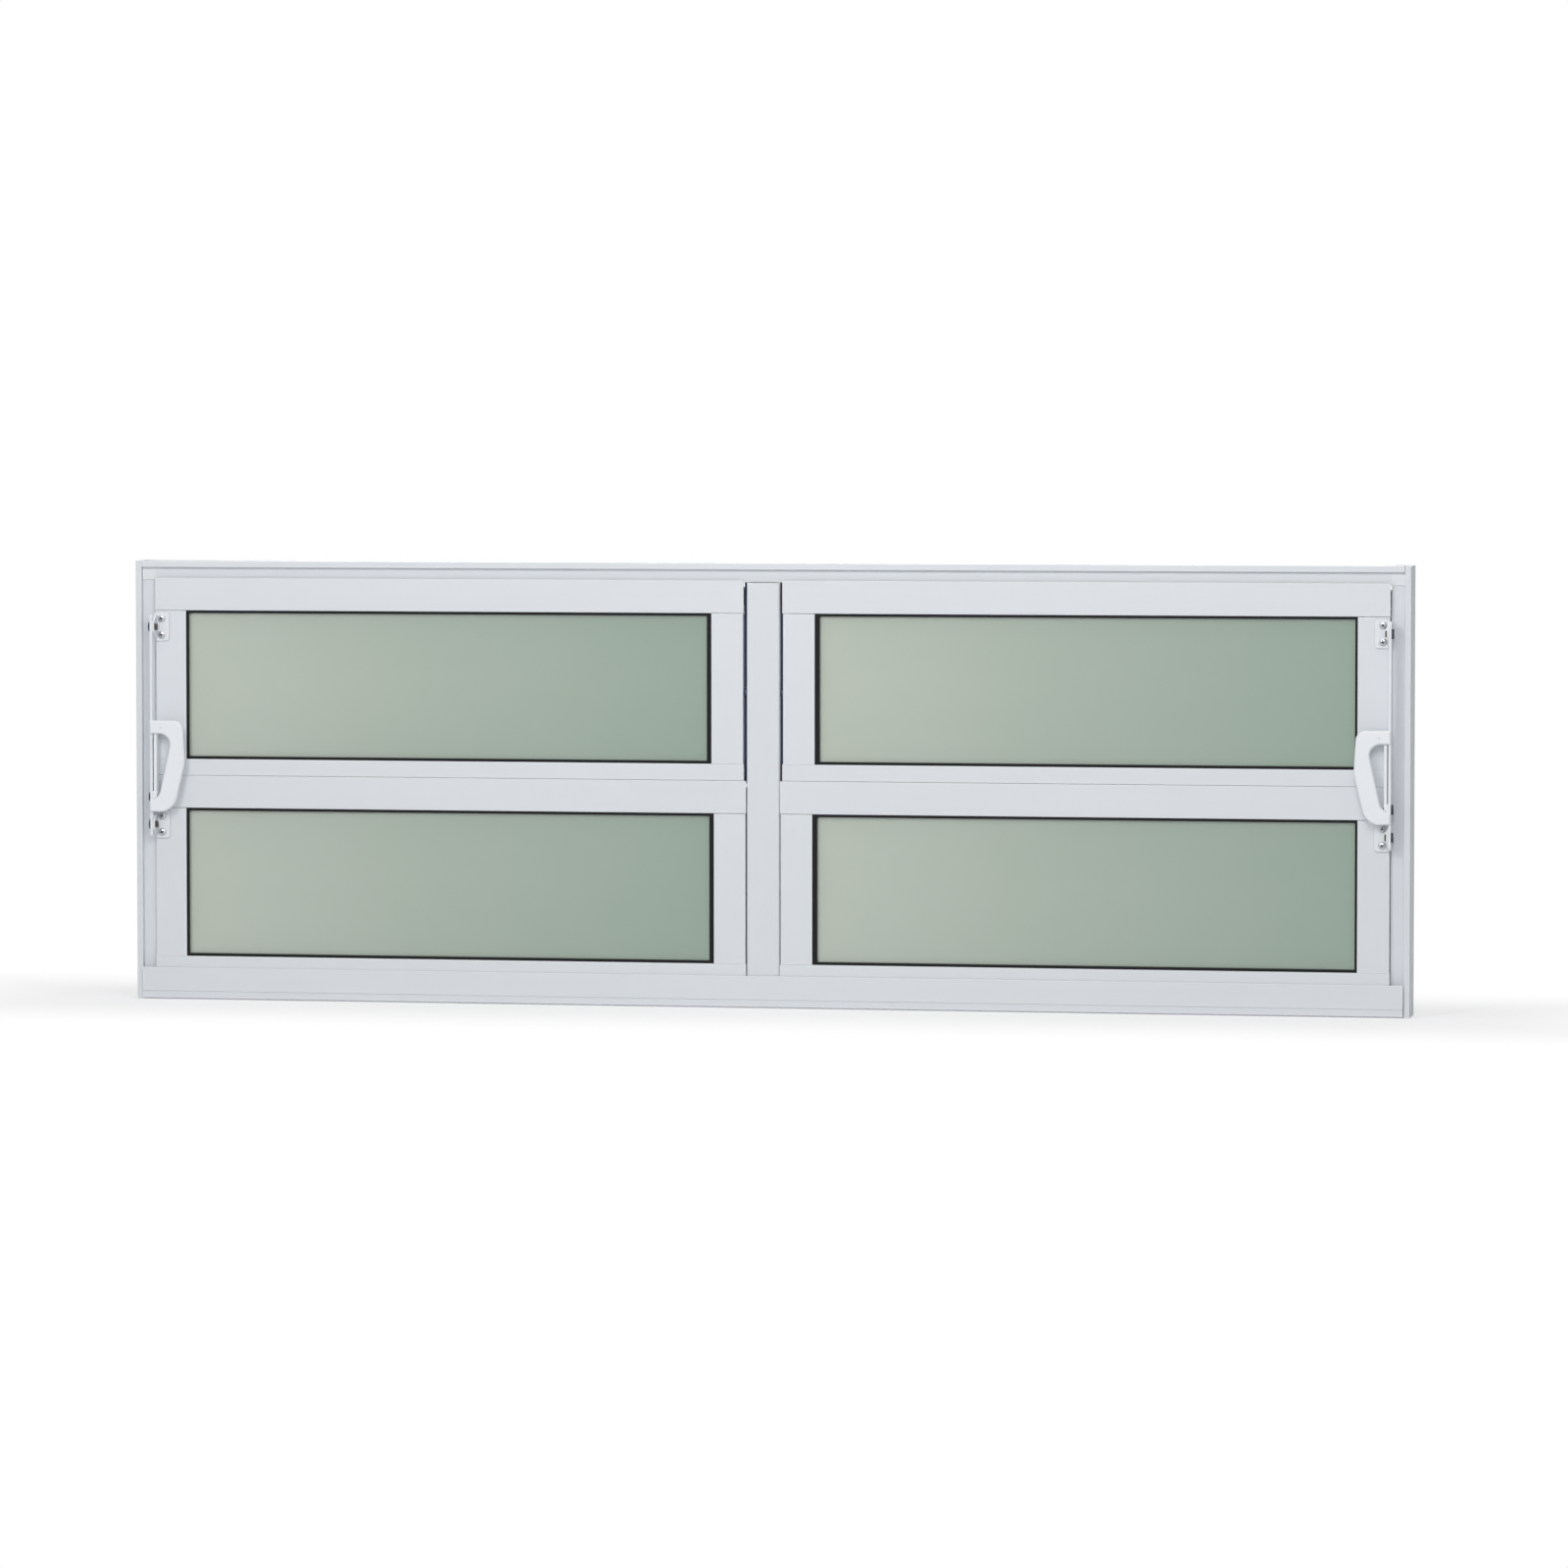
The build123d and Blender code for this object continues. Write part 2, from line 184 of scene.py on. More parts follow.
class Bench:
    """The node tree of one finish, and the method that adds its nodes."""

    rays = 4

    def __init__(self, tree: bpy.types.NodeTree) -> None:
        """Clear the tree and keep it."""
        tree.nodes.clear()
        self.tree = tree

    def node(
        self,
        kind: str,
        settings: dict[str, Any] | None = None,
        sockets: dict[str | int, Value] | None = None,
        output: str | int = 0,
    ) -> Signal:
        """Add a node, set it up and wire it.

        Args:
            kind: The node's type.
            settings: Its own settings, set before its sockets; "stops" fills a colour ramp.
            sockets: A value or a signal for each input, by name or place.
            output: The output that is handed on.

        Returns:
            The chosen output.
        """
        made = self.tree.nodes.new(kind)
        for name, value in (settings or {}).items():
            if name == "stops":
                self._fill_ramp(made.color_ramp, value)
            else:
                setattr(made, name, value)
        for name, value in (sockets or {}).items():
            if isinstance(value, Signal):
                self.tree.links.new(value.socket, made.inputs[name])
            else:
                made.inputs[name].default_value = value
        return Signal(self, made.outputs[output] if made.outputs else None)

    @staticmethod
    def _fill_ramp(ramp: bpy.types.ColorRamp, stops: list[tuple[float, Colour]]) -> None:
        """Give a colour ramp its stops, which are at least two."""
        while len(ramp.elements) < len(stops):
            ramp.elements.new(1.0)
        for element, (place, colour) in zip(ramp.elements, stops):
            element.position = place
            element.color = colour

    def place(self) -> Signal:
        """Object coordinates, which are the window's own metres."""
        return self.node("ShaderNodeTexCoord", output="Object")

    def axes(self, vector: Signal) -> tuple[Signal, Signal, Signal]:
        """The three parts of a vector.

        Args:
            vector: The vector to take apart.

        Returns:
            Its X, Y and Z.
        """
        split = self.node("ShaderNodeSeparateXYZ", sockets={"Vector": vector}).socket.node
        return tuple(Signal(self, out) for out in split.outputs)

    def stretch(self, vector: Signal, scale: Scale) -> Signal:
        """A vector with each part scaled."""
        return self.node("ShaderNodeMapping", sockets={"Vector": vector, "Scale": scale})

    def noise(self, vector: Signal, scale: float, detail: float) -> Signal:
        """Soft noise from 0 to 1 at a scale per metre."""
        sockets = {"Vector": vector, "Scale": scale, "Detail": detail}
        return self.node("ShaderNodeTexNoise", sockets=sockets, output="Fac")

    def blend(self, share: Value, first: Value, second: Value) -> Signal:
        """A colour between two colours.

        Args:
            share: How much of the second shows, from 0 to 1.
            first: The colour at 0.
            second: The colour at 1.

        Returns:
            The mixed colour.
        """
        settings = {"data_type": "RGBA", "clamp_factor": True}
        return self.node("ShaderNodeMix", settings, {0: share, 6: first, 7: second}, output=2)

    def closeness(self, reach: float, inward: bool, alone: bool = True) -> Signal:
        """How near a point is to an outer edge or to a corner.

        Args:
            reach: How far to look.
            inward: Look into the metal, which finds outer edges, or out of it, which finds corners.
            alone: Look at the piece's own metal only, not at the pieces beside it.

        Returns:
            About 1 at the edge or corner, 0 beyond the reach.
        """
        settings = {"samples": self.rays, "inside": inward, "only_local": alone}
        clear = self.node("ShaderNodeAmbientOcclusion", settings, {"Distance": reach}, output="AO")
        return (1 - clear) * 2

    def rounded(self, radius: float, height: Signal, depth: float, strength: float) -> Signal:
        """Normal of softened edges with a fine relief on it.

        Args:
            radius: Radius of the softened edges.
            height: The relief, from 0 to 1.
            depth: Height of the relief.
            strength: How much of it shows.

        Returns:
            The normal.
        """
        edge = self.node("ShaderNodeBevel", {"samples": self.rays}, {"Radius": radius})
        sockets = {"Strength": strength, "Distance": depth, "Height": height, "Normal": edge}
        return self.node("ShaderNodeBump", sockets=sockets)

    def shade(self, **sockets: Value) -> None:
        """Close the tree with a Principled shader, its sockets named with _ for spaces."""
        named = {name.replace("_", " "): value for name, value in sockets.items()}
        shader = self.node("ShaderNodeBsdfPrincipled", sockets=named)
        self.node("ShaderNodeOutputMaterial", sockets={"Surface": shader})


def new_bench(name: str) -> tuple[bpy.types.Material, Bench]:
    """A new material and the bench for its nodes.

    Args:
        name: The material's name.

    Returns:
        The material and its bench.
    """
    material = bpy.data.materials.new(name)
    material.use_nodes = True
    return material, Bench(material.node_tree)


@dataclass(frozen=True)
class PowderCoat:
    """Satin white powder coat: orange peel, faint drawing lines, painted highlights along outer
    edges and painted shade in corners.
    """

    name: str
    tint: Colour
    shadow_tint: Colour
    run: Run = Run.NONE
    cloud_scale: float = 4.0
    cloud_share: float = 0.7
    line_share: float = 0.3
    # Painted highlight: outer edges are blended towards this pale tint, in place of light catching
    # the rounded edges.
    edge_highlight_tint: Colour = srgb(244, 246, 248)
    edge_radius: float = 0.8 * MM
    edge_reach: float = 1.1 * MM
    edge_highlight: float = 0.55
    cloud_highlight: float = 0.5
    # Painted shade: corners, and joints where set, are blended towards this blue-grey in place of
    # the shade that falls there.
    dust_and_shade: Colour = srgb(120, 125, 132)
    corner_shading: float = 0.35
    least_corner_shade: float = 0.5
    joint_shade: bool = False
    corner_reach: float = 1.4 * MM
    roughness: float = 0.40
    line_roughness: float = 0.12
    peel_roughness: float = 0.06
    gloss: float = 0.30
    peel_scale: float = 900.0
    peel_depth: float = 0.06 * MM
    peel_strength: float = 0.5
    pit: tuple[float, float] | None = None
    pit_radius: float = 1.1 * MM
    pit_shade: float = 0.5
    pit_depth: float = 6.0

    def material(self) -> bpy.types.Material:
        """Make the coat.

        Returns:
            The coat as a material.
        """
        made, bench = new_bench(self.name)
        place = bench.place()
        cloud = bench.noise(place, self.cloud_scale, detail=3.0)
        lines = bench.noise(bench.stretch(place, self.run.value), 1.0, detail=3.0)
        peel = bench.noise(place, self.peel_scale, detail=1.5)
        # Painted highlight: a pale band along the outer edges, uneven with the cloud.
        edge = bench.closeness(self.edge_reach, inward=True)
        highlight_and_tone = edge * (self.edge_highlight + cloud * self.cloud_highlight)
        # Painted shade in corners, and along the joints between pieces where that is set; the
        # drawing lines make it uneven.
        corner = bench.closeness(self.corner_reach, inward=False, alone=not self.joint_shade)
        shaded_share = corner * (lines + self.least_corner_shade) * self.corner_shading
        relief = peel
        if self.pit:
            sunk = self._sunk(bench, place)
            # Painted shade in the handle's small pit.
            shaded_share = shaded_share + sunk * self.pit_shade
            relief = peel - sunk * self.pit_depth
        uneven = cloud * self.cloud_share + lines * self.line_share
        coat = bench.blend(uneven, self.tint, self.shadow_tint)
        # Painted highlight on the outer edges.
        coat = bench.blend(highlight_and_tone, coat, self.edge_highlight_tint)
        line_change = (lines - MIDDLE) * self.line_roughness
        peel_change = (peel - MIDDLE) * self.peel_roughness
        bench.shade(
            Base_Color=bench.blend(shaded_share, coat, self.dust_and_shade),
            Roughness=self.roughness + line_change + peel_change,
            Specular_IOR_Level=self.gloss,
            Normal=bench.rounded(self.edge_radius, relief, self.peel_depth, self.peel_strength),
        )
        return made

    def _sunk(self, bench: Bench, place: Signal) -> Signal:
        """One in the middle of the small pit of each side, falling to zero at its rim.

        Args:
            bench: Where the nodes go.
            place: Object coordinates.

        Returns:
            The depth of the pit.
        """
        across, _, up = bench.axes(place)
        aside = abs(across) - self.pit[0]
        above = up - self.pit[1]
        return (1 - (aside * aside + above * above) ** 0.5 / self.pit_radius).largest(0.0)


@dataclass(frozen=True)
class DullZinc:
    """Dull zinc of the lever pins: slate heads by the jambs, brown ends by the leaves."""

    name: str
    brown_within: float
    slate: Colour = srgb(62, 66, 74)
    brown: Colour = srgb(96, 82, 70)
    stain: Colour = srgb(28, 27, 27)
    stain_share: float = 0.6
    mottle_scale: float = 600.0
    mottle_depth: float = 0.05 * MM
    mottle_strength: float = 0.6
    metallic: float = 0.55
    roughness: float = 0.38
    mottle_roughness: float = 0.3
    edge_radius: float = 0.5 * MM

    def material(self) -> bpy.types.Material:
        """Make the plating.

        Returns:
            The plating as a material.
        """
        made, bench = new_bench(self.name)
        place = bench.place()
        across, _, _ = bench.axes(place)
        mottle = bench.noise(place, self.mottle_scale, detail=4.0)
        inner = 1 - abs(across).above(self.brown_within)
        highlight_and_tone = bench.blend(inner, self.slate, self.brown)
        bench.shade(
            Base_Color=bench.blend(mottle * self.stain_share, highlight_and_tone, self.stain),
            Metallic=self.metallic,
            Roughness=self.roughness + mottle * self.mottle_roughness,
            Normal=bench.rounded(self.edge_radius, mottle, self.mottle_depth, self.mottle_strength),
        )
        return made


@dataclass(frozen=True)
class BrightZinc:
    """Bright plated steel of the bracket screws; a near-black copy is the painted shade down in the
    cross.
    """

    name: str
    bright: Colour
    dark: Colour
    mottle_scale: float = 900.0
    mottle_share: float = 0.5
    scratch_scale: Scale = (300.0, 300.0, 2600.0)
    scratch_share: float = 0.3
    scratch_depth: float = 0.02 * MM
    scratch_strength: float = 0.4
    metallic: float = 0.85
    roughness: float = 0.20
    scratch_roughness: float = 0.2
    edge_radius: float = 0.15 * MM

    def material(self) -> bpy.types.Material:
        """Make the plating.

        Returns:
            The plating as a material.
        """
        made, bench = new_bench(self.name)
        place = bench.place()
        mottle = bench.noise(place, self.mottle_scale, detail=3.0)
        scratch = bench.noise(bench.stretch(place, self.scratch_scale), 1.0, detail=2.0)
        uneven = mottle * self.mottle_share + scratch * self.scratch_share
        bench.shade(
            Base_Color=bench.blend(uneven, self.bright, self.dark),
            Metallic=self.metallic,
            Roughness=self.roughness + scratch * self.scratch_roughness,
            Normal=bench.rounded(
                self.edge_radius, scratch, self.scratch_depth, self.scratch_strength
            ),
        )
        return made


@dataclass(frozen=True)
class BlackMoulding:
    """Matt black rubber or nylon; the seals beside the mullion are painted slate blue, the tone of
    the shaded gap they sit in.
    """

    name: str
    black: Colour
    bloom: Colour
    roughness: float
    gloss: float
    dust_scale: float = 45.0
    dust_share: float = 0.8
    dust_roughness: float = 0.2
    grain_scale: float = 1800.0
    grain_share: float = 0.2
    grain_depth: float = 0.04 * MM
    grain_strength: float = 0.5
    edge_radius: float = 0.4 * MM
    # Painted shade: the tone of the shaded gap beside the mullion.
    seal_gap_shade: Colour = srgb(58, 68, 94)
    seal_within: float = 20.0 * MM

    def material(self) -> bpy.types.Material:
        """Make the moulding's finish.

        Returns:
            The finish as a material.
        """
        made, bench = new_bench(self.name)
        place = bench.place()
        across, _, _ = bench.axes(place)
        dust_and_shade = bench.noise(place, self.dust_scale, detail=4.0)
        grain = bench.noise(place, self.grain_scale, detail=2.0)
        uneven = dust_and_shade * self.dust_share + grain * self.grain_share
        rubber = bench.blend(uneven, self.black, self.bloom)
        # Painted shade on the seals beside the mullion.
        outside = abs(across).above(self.seal_within)
        bench.shade(
            Base_Color=bench.blend(outside, self.seal_gap_shade, rubber),
            Roughness=self.roughness + (dust_and_shade - MIDDLE) * self.dust_roughness,
            Specular_IOR_Level=self.gloss,
            Normal=bench.rounded(self.edge_radius, grain, self.grain_depth, self.grain_strength),
        )
        return made


@dataclass(frozen=True)
class TintedGlass:
    """Green-grey tinted glass with a painted reflection, paler and warmer towards the left of a
    pane, and painted shade towards its top and bottom.
    """

    name: str
    low: Vector
    high: Vector
    # The glass tint with a painted reflection across each pane: pale and warm on the left, green on
    # the right.
    warm: Colour = srgb(188, 198, 184)
    warm_until: float = 0.06
    middle: Colour = srgb(167, 182, 167)
    middle_at: float = 0.5
    green: Colour = srgb(145, 168, 151)
    ripple_scale: Scale = (2.0, 2.0, 9.0)
    ripple_share: float = 0.16
    bow_level: float = 0.55
    bow_share: float = 0.12
    stain_scale: float = 26.0
    roughness: float = 0.06
    stain_roughness: float = 0.05
    opacity: float = 0.70
    stain_opacity: float = 0.03
    ior: float = 1.5

    def material(self) -> bpy.types.Material:
        """Make the tint of one pane.

        Returns:
            The tint as a material.
        """
        made, bench = new_bench(self.name)
        place = bench.place()
        across, _, up = bench.axes(place)
        share_across = (across - self.low.x) / (self.high.x - self.low.x)
        share_up = (up - self.low.z) / (self.high.z - self.low.z)
        ripple = bench.noise(bench.stretch(place, self.ripple_scale), 1.0, detail=1.0)
        stain = bench.noise(place, self.stain_scale, detail=3.0)
        # Painted shade: darker green towards the top and bottom of the pane.
        top_bottom_shade = abs(share_up - self.bow_level) * self.bow_share
        # Painted reflection: paler and warmer on the left of each pane, greener on the right.
        reflection_sweep = share_across + (ripple - MIDDLE) * self.ripple_share + top_bottom_shade
        stops = [(self.warm_until, self.warm), (self.middle_at, self.middle), (1.0, self.green)]
        tint = bench.node("ShaderNodeValToRGB", {"stops": stops}, {"Fac": reflection_sweep})
        bench.shade(
            Base_Color=tint,
            Roughness=self.roughness + stain * self.stain_roughness,
            IOR=self.ior,
            Alpha=self.opacity + (stain - MIDDLE) * self.stain_opacity,
        )
        return made


@dataclass(frozen=True)
class Finishes:
    """The finishes that several pieces share."""

    upright: bpy.types.Material
    stile: bpy.types.Material
    level: bpy.types.Material
    hardware: bpy.types.Material
    handle: bpy.types.Material
    rubber: bpy.types.Material
    nylon: bpy.types.Material
    zinc: bpy.types.Material
    plating: bpy.types.Material
    # Painted shade of the screws' cross recesses.
    recess_shade: bpy.types.Material


def make_finishes() -> Finishes:
    """Make each shared finish once.

    Returns:
        The finishes.
    """
    white = (srgb(226, 229, 233), srgb(218, 222, 227))
    pale = (srgb(233, 236, 240), srgb(226, 230, 235))
    paler = (srgb(240, 242, 245), srgb(233, 236, 240))
    upright = PowderCoat("upright_coat", *white, Run.ALONG_Z, corner_shading=0.15, gloss=0.03)
    # The stiles also get painted shade along the joints between pieces.
    stile = PowderCoat("stile_coat", *white, Run.ALONG_Z, joint_shade=True)
    level = PowderCoat("level_coat", *white, Run.ALONG_X, corner_shading=0.10)
    hardware = PowderCoat("hardware_coat", *pale, roughness=0.32, gloss=0.45)

    handle_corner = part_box("right_lever_handle")[1]
    pit_inset = 10.7 * MM
    pit_drop = 6.7 * MM
    pit = (handle_corner.x - pit_inset, handle_corner.z - pit_drop)
    handle = PowderCoat("handle_coat", *paler, roughness=0.32, gloss=0.45, pit=pit)

    rubber = BlackMoulding(
        "black_rubber", black=srgb(10, 10, 12), bloom=srgb(24, 24, 27), roughness=0.62, gloss=0.2
    )
    nylon = BlackMoulding(
        "black_nylon", black=srgb(20, 20, 26), bloom=srgb(36, 36, 44), roughness=0.45, gloss=0.4
    )
    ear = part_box("upper_right_bracket")[1].x
    zinc = DullZinc("dull_zinc", brown_within=ear)
    plating = BrightZinc("bright_zinc", bright=srgb(218, 220, 224), dark=srgb(142, 144, 148))
    # Painted shade: the cross recess of each screw is coloured near black.
    recess_shade = BrightZinc("cross_shade", bright=srgb(38, 39, 42), dark=srgb(22, 22, 24))
    return Finishes(
        upright=upright.material(),
        stile=stile.material(),
        level=level.material(),
        hardware=hardware.material(),
        handle=handle.material(),
        rubber=rubber.material(),
        nylon=nylon.material(),
        zinc=zinc.material(),
        plating=plating.material(),
        recess_shade=recess_shade.material(),
    )


def coat_node(node: str, finish: bpy.types.Material) -> None:
    """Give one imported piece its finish."""
    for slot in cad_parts[node].material_slots:
        slot.material = finish


def deselect_all() -> None:
    """Leave edit mode and let go of every object."""
    if bpy.context.mode != "OBJECT":
        bpy.ops.object.mode_set(mode="OBJECT")
    bpy.ops.object.select_all(action="DESELECT")


def pick_faces(obj: bpy.types.Object, wanted: Callable[[bpy.types.MeshPolygon], bool]) -> None:
    """Select the faces of an object that a test accepts, and return to edit mode.

    Args:
        obj: The active object, in edit mode.
        wanted: Says which faces to select.
    """
    bpy.ops.mesh.select_mode(type="FACE")
    bpy.ops.mesh.select_all(action="DESELECT")
    bpy.ops.object.mode_set(mode="OBJECT")
    for face in obj.data.polygons:
        face.select = wanted(face)
    bpy.ops.object.mode_set(mode="EDIT")


def apply_place(obj: bpy.types.Object) -> None:
    """Put an object's place, turn and scale into its mesh."""
    deselect_all()
    obj.select_set(True)
    bpy.context.view_layer.objects.active = obj
    bpy.ops.object.transform_apply(location=True, rotation=True, scale=True)


def copy_of(model: bpy.types.Object, name: str, move: Matrix) -> bpy.types.Object:
    """A copy of a piece with its own mesh.

    Args:
        model: The piece to copy.
        name: Name of the copy.
        move: Where the copy goes.

    Returns:
        The copy, its place in its mesh.
    """
    made = model.copy()
    made.data = model.data.copy()
    made.data.transform(move)
    made.name = name
    bpy.context.scene.collection.objects.link(made)
    return made


@dataclass
class OuterFrame:
    """The jambs, head, sill and mullion."""

    uprights: tuple[str, ...] = ("left_jamb", "right_jamb", "mullion")
    levels: tuple[str, ...] = ("head", "sill")

    def dress(self, finishes: Finishes) -> None:
        """Give each profile its coat.

        Args:
            finishes: The finishes that the pieces share.
        """
        for node in self.uprights:
            coat_node(node, finishes.upright)
        for node in self.levels:
            coat_node(node, finishes.level)


@dataclass
class Leaf:
    """One tilting leaf: rails, stiles, glass, gasket, pivots and bracket."""

    row: Row
    side: Side

    @property
    def prefix(self) -> str:
        """Start of the names of the leaf's nodes."""
        return f"{self.row.value}_{self.side.value}_"

    def dress(self, finishes: Finishes) -> None:
        """Give each piece of the leaf its finish, the pane a tint of its own.

        Args:
            finishes: The finishes that the pieces share.
        """
        for node in ("top_rail", "bottom_rail"):
            coat_node(self.prefix + node, finishes.level)
        for node in ("inner_stile", "outer_stile"):
            coat_node(self.prefix + node, finishes.stile)
        coat_node(self.prefix + "bracket", finishes.hardware)
        coat_node(self.prefix + "gasket", finishes.rubber)
        coat_node(self.prefix + "pivots", finishes.nylon)
        low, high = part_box(self.prefix + "glass")
        glass = TintedGlass(self.prefix + "tint", low, high)
        coat_node(self.prefix + "glass", glass.material())


@dataclass
class Lever:
    """The lever of one bank: bar, handle and pins."""

    side: Side

    def dress(self, finishes: Finishes) -> None:
        """Give each piece of the lever its finish.

        Args:
            finishes: The finishes that the pieces share.
        """
        prefix = f"{self.side.value}_lever_"
        coat_node(prefix + "bar", finishes.hardware)
        coat_node(prefix + "handle", finishes.handle)
        coat_node(prefix + "pins", finishes.zinc)


@dataclass
class BracketScrews:
    """The cross-head pan screws that hold the brackets, two on each."""

    head_radius: float = 3.5 * MM
    head_sides: int = 40
    rim: float = 0.7 * MM
    dome: float = 1.6 * MM
    dome_rings: int = 7
    flat_share: float = 0.12
    smooth_below: float = 35.0
    cross_width: float = 1.0 * MM
    cross_reach: float = 2.1 * MM
    cross_depth: float = 1.5 * MM
    cross_above: float = 0.2 * MM
    cross_taper: float = 0.55
    plate: float = 1.6 * MM
    from_inner_edge: float = 7.2 * MM
    half_spacing: float = 7.66 * MM
    first_turn: float = 57.0
    turn_step: float = 37.0

    def build(self, finishes: Finishes) -> Iterator[bpy.types.Object]:
        """Model one screw and set copies on the brackets, each turned further than the last.

        Args:
            finishes: The finishes that the pieces share.

        Returns:
            The finished screws, one by one.
        """
        model = self._model(finishes)
        turn = self.first_turn
        for row in Row:
            for side in Side:
                low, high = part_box(f"{row.value}_{side.value}_bracket")
                inner = low.x if side is Side.RIGHT else high.x
                across = inner + side.sign * self.from_inner_edge
                face = high.y - self.plate
                middle = (low.z + high.z) / 2
                for level, up in (("top", 1), ("bottom", -1)):
                    spot = Vector((across, face, middle + up * self.half_spacing))
                    move = Matrix.Translation(spot) @ Matrix.Rotation(math.radians(turn), 4, "Y")
                    name = f"{row.value}_{side.value}_{level}_screw"
                    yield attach(copy_of(model, name, move), BODY)
                    turn += self.turn_step
        bpy.data.objects.remove(model)

    def _model(self, finishes: Finishes) -> bpy.types.Object:
        """One screw head at the origin, facing the room.

        Args:
            finishes: The finishes that the pieces share.

        Returns:
            The screw.
        """
        head = self._head()
        head.data.materials.append(finishes.plating)
        cutter = self._cross()
        # The cut faces of the cross take the painted shade.
        cutter.data.materials.append(finishes.recess_shade)
        deselect_all()
        bpy.context.view_layer.objects.active = head
        head.select_set(True)
        cut = head.modifiers.new("cross", "BOOLEAN")
        cut.operation = "DIFFERENCE"
        cut.material_mode = "TRANSFER"
        cut.object = cutter
        bpy.ops.object.modifier_apply(modifier=cut.name)
        bpy.data.objects.remove(cutter)
        head.rotation_euler = (math.radians(90), 0, 0)
        apply_place(head)
        bpy.ops.object.shade_smooth_by_angle(angle=math.radians(self.smooth_below))
        return head

    def _head(self) -> bpy.types.Object:
        """The domed head about +Z, drawn up ring by ring from its rim.

        Returns:
            The head, still without its cross.
        """
        deselect_all()
        bpy.ops.mesh.primitive_cylinder_add(
            vertices=self.head_sides,
            radius=self.head_radius,
            depth=self.rim,
            location=(0, 0, self.rim / 2),
        )
        head = bpy.context.object
        apply_place(head)
        bpy.ops.object.mode_set(mode="EDIT")
        pick_faces(head, lambda face: face.normal.z > FACING)
        last_radius = 1.0
        last_height = 0.0
        for ring in range(1, self.dome_rings + 1):
            angle = ring / self.dome_rings * math.pi / 2
            radius = max(math.cos(angle), self.flat_share)
            height = self.dome * math.sin(angle)
            lift = (0, 0, height - last_height)
            bpy.ops.mesh.extrude_region_move(TRANSFORM_OT_translate={"value": lift})
            share = radius / last_radius
            centre = (0, 0, self.rim + height)
            bpy.ops.transform.resize(value=(share, share, 1), center_override=centre)
            last_radius = radius
            last_height = height
        bpy.ops.object.mode_set(mode="OBJECT")
        return head

    def _cross(self) -> bpy.types.Object:
        """The tapered cross that is cut into the head.

        Returns:
            The cross, reaching out above the head.
        """
        deselect_all()
        top = self.rim + self.dome + self.cross_above
        middle = (0, 0, top - self.cross_depth / 2)
        bpy.ops.mesh.primitive_cube_add(size=1, location=middle)
        cross = bpy.context.object
        cross.scale = (self.cross_width, self.cross_width, self.cross_depth)
        apply_place(cross)
        arm = self.cross_reach - self.cross_width / 2
        bpy.ops.object.mode_set(mode="EDIT")
        for way in (Vector((1, 0, 0)), Vector((-1, 0, 0)), Vector((0, 1, 0)), Vector((0, -1, 0))):
            pick_faces(cross, lambda face, way=way: self._on_core(face, way))
            bpy.ops.mesh.extrude_region_move(TRANSFORM_OT_translate={"value": way * arm})
        pick_faces(cross, lambda face: face.normal.z < -FACING)
        bottom = (0, 0, top - self.cross_depth)
        share = self.cross_taper
        bpy.ops.transform.resize(value=(share, share, 1), center_override=bottom)
        bpy.ops.mesh.select_all(action="SELECT")
        bpy.ops.mesh.normals_make_consistent(inside=False)
        bpy.ops.object.mode_set(mode="OBJECT")
        return cross

    def _on_core(self, face: bpy.types.MeshPolygon, way: Vector) -> bool:
        """Whether a face looks one way and is still on the square core of the cross.

        Args:
            face: The face.
            way: The way that it should look.

        Returns:
            True for the one face from which the arm of that way is drawn.
        """
        across = face.center - way * face.center.dot(way)
        central = math.hypot(across.x, across.y) < self.cross_width / 4
        return central and face.normal.dot(way) > FACING


@dataclass
class Softbox:
    """A large soft lamp."""

    name: str
    place: tuple[float, float, float]
    width: float
    height: float
    power: float

    def build(self, aim: Vector) -> None:
        """Set the lamp up, turned to a point.

        Args:
            aim: The point that it lights.
        """
        bpy.ops.object.light_add(type="AREA", location=self.place)
        lamp = bpy.context.object
        lamp.name = self.name
        lamp.data.shape = "RECTANGLE"
        lamp.data.size = self.width
        lamp.data.size_y = self.height
        lamp.data.energy = self.power
        lamp.rotation_euler = (aim - Vector(self.place)).to_track_quat("-Z", "Y").to_euler()


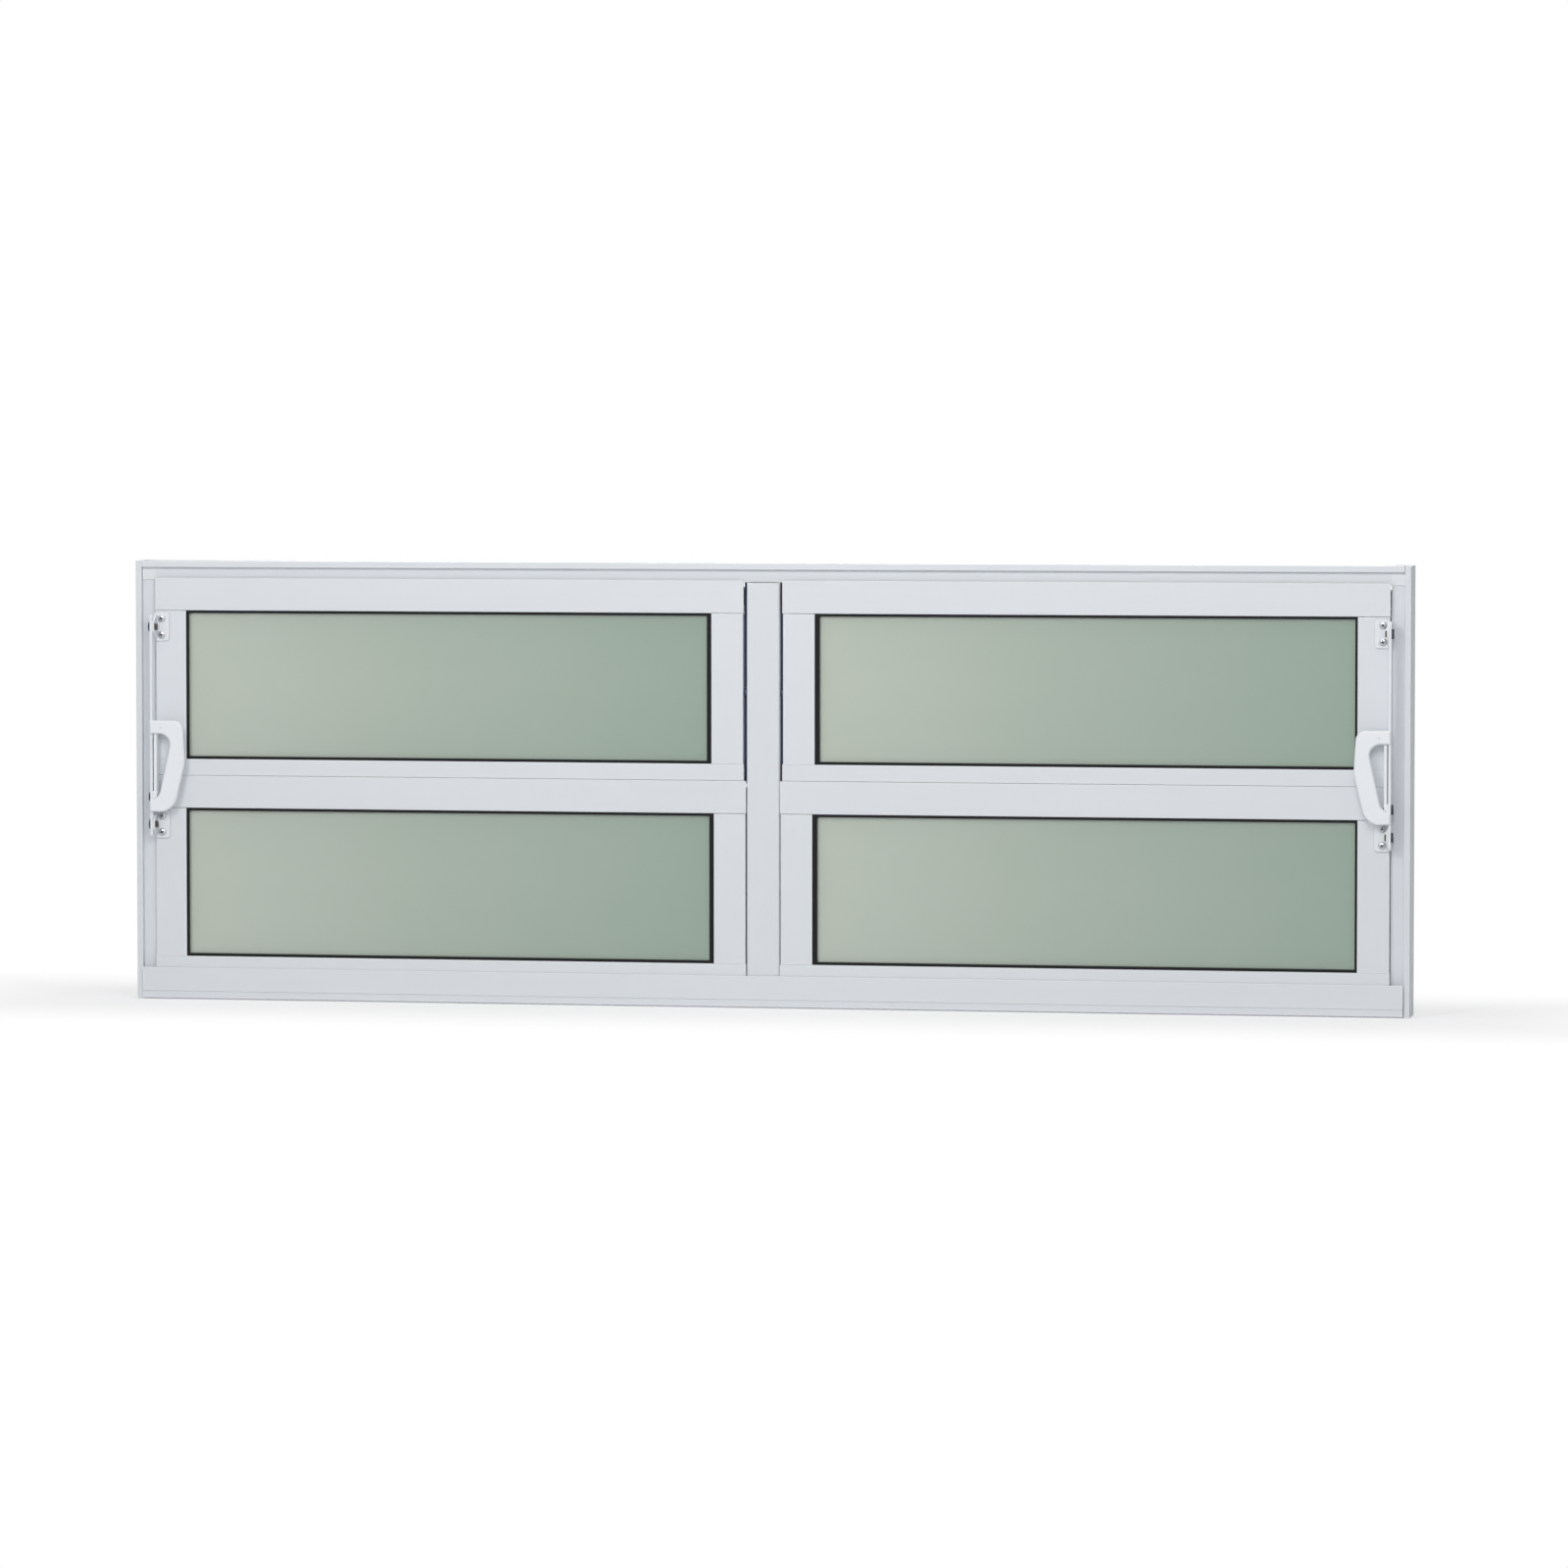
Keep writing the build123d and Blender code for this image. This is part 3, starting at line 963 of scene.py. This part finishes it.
@dataclass
class Studio:
    """Pale floor, white surroundings, soft lamps and the camera."""

    camera_place: tuple[float, float, float] = (1.272, -6.591, 0.560)
    yaw: float = 10.785
    pitch: float = 3.012
    focal_pixels: float = 7395.0
    image_pixels: float = 1600.0
    sensor: float = 36.0
    view_end: float = 200.0
    ambient: float = 0.30
    floor_size: float = 40.0
    floor_drop: float = 0.5 * MM
    floor_tint: Colour = srgb(235, 236, 238)
    floor_white: float = 0.58
    floor_near: float = 0.03
    floor_far: float = 0.30
    lamps: tuple[Softbox, ...] = (
        Softbox("left_lamp", (-0.65, -2.3, 1.5), width=0.6, height=1.0, power=18.8),
        Softbox("right_lamp", (0.75, -2.3, 1.5), width=0.6, height=1.0, power=18.2),
        Softbox("top_lamp", (0.0, -0.6, 3.0), width=2.6, height=0.6, power=16.0),
        Softbox("back_lamp", (0.0, 2.6, 1.1), width=2.4, height=1.2, power=36.0),
    )

    def build(self) -> None:
        """Set up the whole studio."""
        self._view()
        self._surroundings()
        self._floor()
        low, high = CAD_BOX
        for lamp in self.lamps:
            lamp.build((low + high) / 2)
        bpy.context.scene.view_settings.view_transform = "Standard"

    def _view(self) -> None:
        """Place the camera that fits the outline in the photograph best."""
        turn = (math.radians(90 - self.pitch), 0, math.radians(self.yaw))
        bpy.ops.object.camera_add(location=self.camera_place, rotation=turn)
        camera = bpy.context.object
        camera.data.sensor_width = self.sensor
        camera.data.lens = self.focal_pixels / self.image_pixels * self.sensor
        camera.data.clip_end = self.view_end
        bpy.context.scene.camera = camera

    def _surroundings(self) -> None:
        """Soft grey light all round, seen as white."""
        world = bpy.data.worlds.new("surroundings")
        world.use_nodes = True
        bench = Bench(world.node_tree)
        path = bench.node("ShaderNodeLightPath", output="Is Camera Ray")
        outputs = path.socket.node.outputs
        seen = path.largest(Signal(bench, outputs["Is Glossy Ray"]))
        seen = seen.largest(Signal(bench, outputs["Is Transmission Ray"]))
        soft = bench.node(
            "ShaderNodeBackground", sockets={"Color": WHITE, "Strength": self.ambient}
        )
        white = bench.node("ShaderNodeBackground", sockets={"Color": WHITE, "Strength": 1.0})
        both = bench.node("ShaderNodeMixShader", sockets={0: seen, 1: soft, 2: white})
        bench.node("ShaderNodeOutputWorld", sockets={"Surface": both})
        bpy.context.scene.world = world

    def _floor(self) -> None:
        """A pale floor that keeps the window's shadow and is white further off."""
        deselect_all()
        bpy.ops.mesh.primitive_plane_add(size=self.floor_size, location=(0, 0, -self.floor_drop))
        floor = bpy.context.object
        floor.name = "studio_floor"
        made, bench = new_bench("pale_floor")
        path = bench.node("ShaderNodeLightPath", output="Is Camera Ray")
        seen = path.largest(Signal(bench, path.socket.node.outputs["Is Glossy Ray"]))
        across, away, _ = bench.axes(bench.place())
        off = (abs(across) - CAD_BOX[1].x).largest(abs(away))
        limits = {"Value": off, 1: self.floor_near, 2: self.floor_far, 3: self.floor_white, 4: 1.0}
        share = bench.node("ShaderNodeMapRange", {"interpolation_type": "SMOOTHSTEP"}, limits)
        dull = bench.node("ShaderNodeBsdfDiffuse", sockets={"Color": self.floor_tint})
        glow = bench.node("ShaderNodeEmission", sockets={"Color": WHITE, "Strength": 1.0})
        both = bench.node("ShaderNodeMixShader", sockets={0: seen * share, 1: dull, 2: glow})
        bench.node("ShaderNodeOutputMaterial", sockets={"Surface": both})
        floor.data.materials.append(made)
        floor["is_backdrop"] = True


def main() -> None:
    """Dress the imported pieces, add the screws and set up the studio."""
    logging.basicConfig(level=logging.INFO)
    finishes = make_finishes()
    OuterFrame().dress(finishes)
    LOG.info("outer frame dressed")
    for row in Row:
        for side in Side:
            leaf = Leaf(row, side)
            leaf.dress(finishes)
            LOG.info("%s %s leaf dressed", row.value, side.value)
    for side in Side:
        Lever(side).dress(finishes)
        LOG.info("%s lever dressed", side.value)
    for screw in BracketScrews().build(finishes):
        LOG.info("%s set", screw.name)
    Studio().build()

    boxes = {"cad": CAD_BOX, "visual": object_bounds()}
    {name: [list(low), list(high)] for name, (low, high) in boxes.items()}


if __name__ == "__main__":
    main()
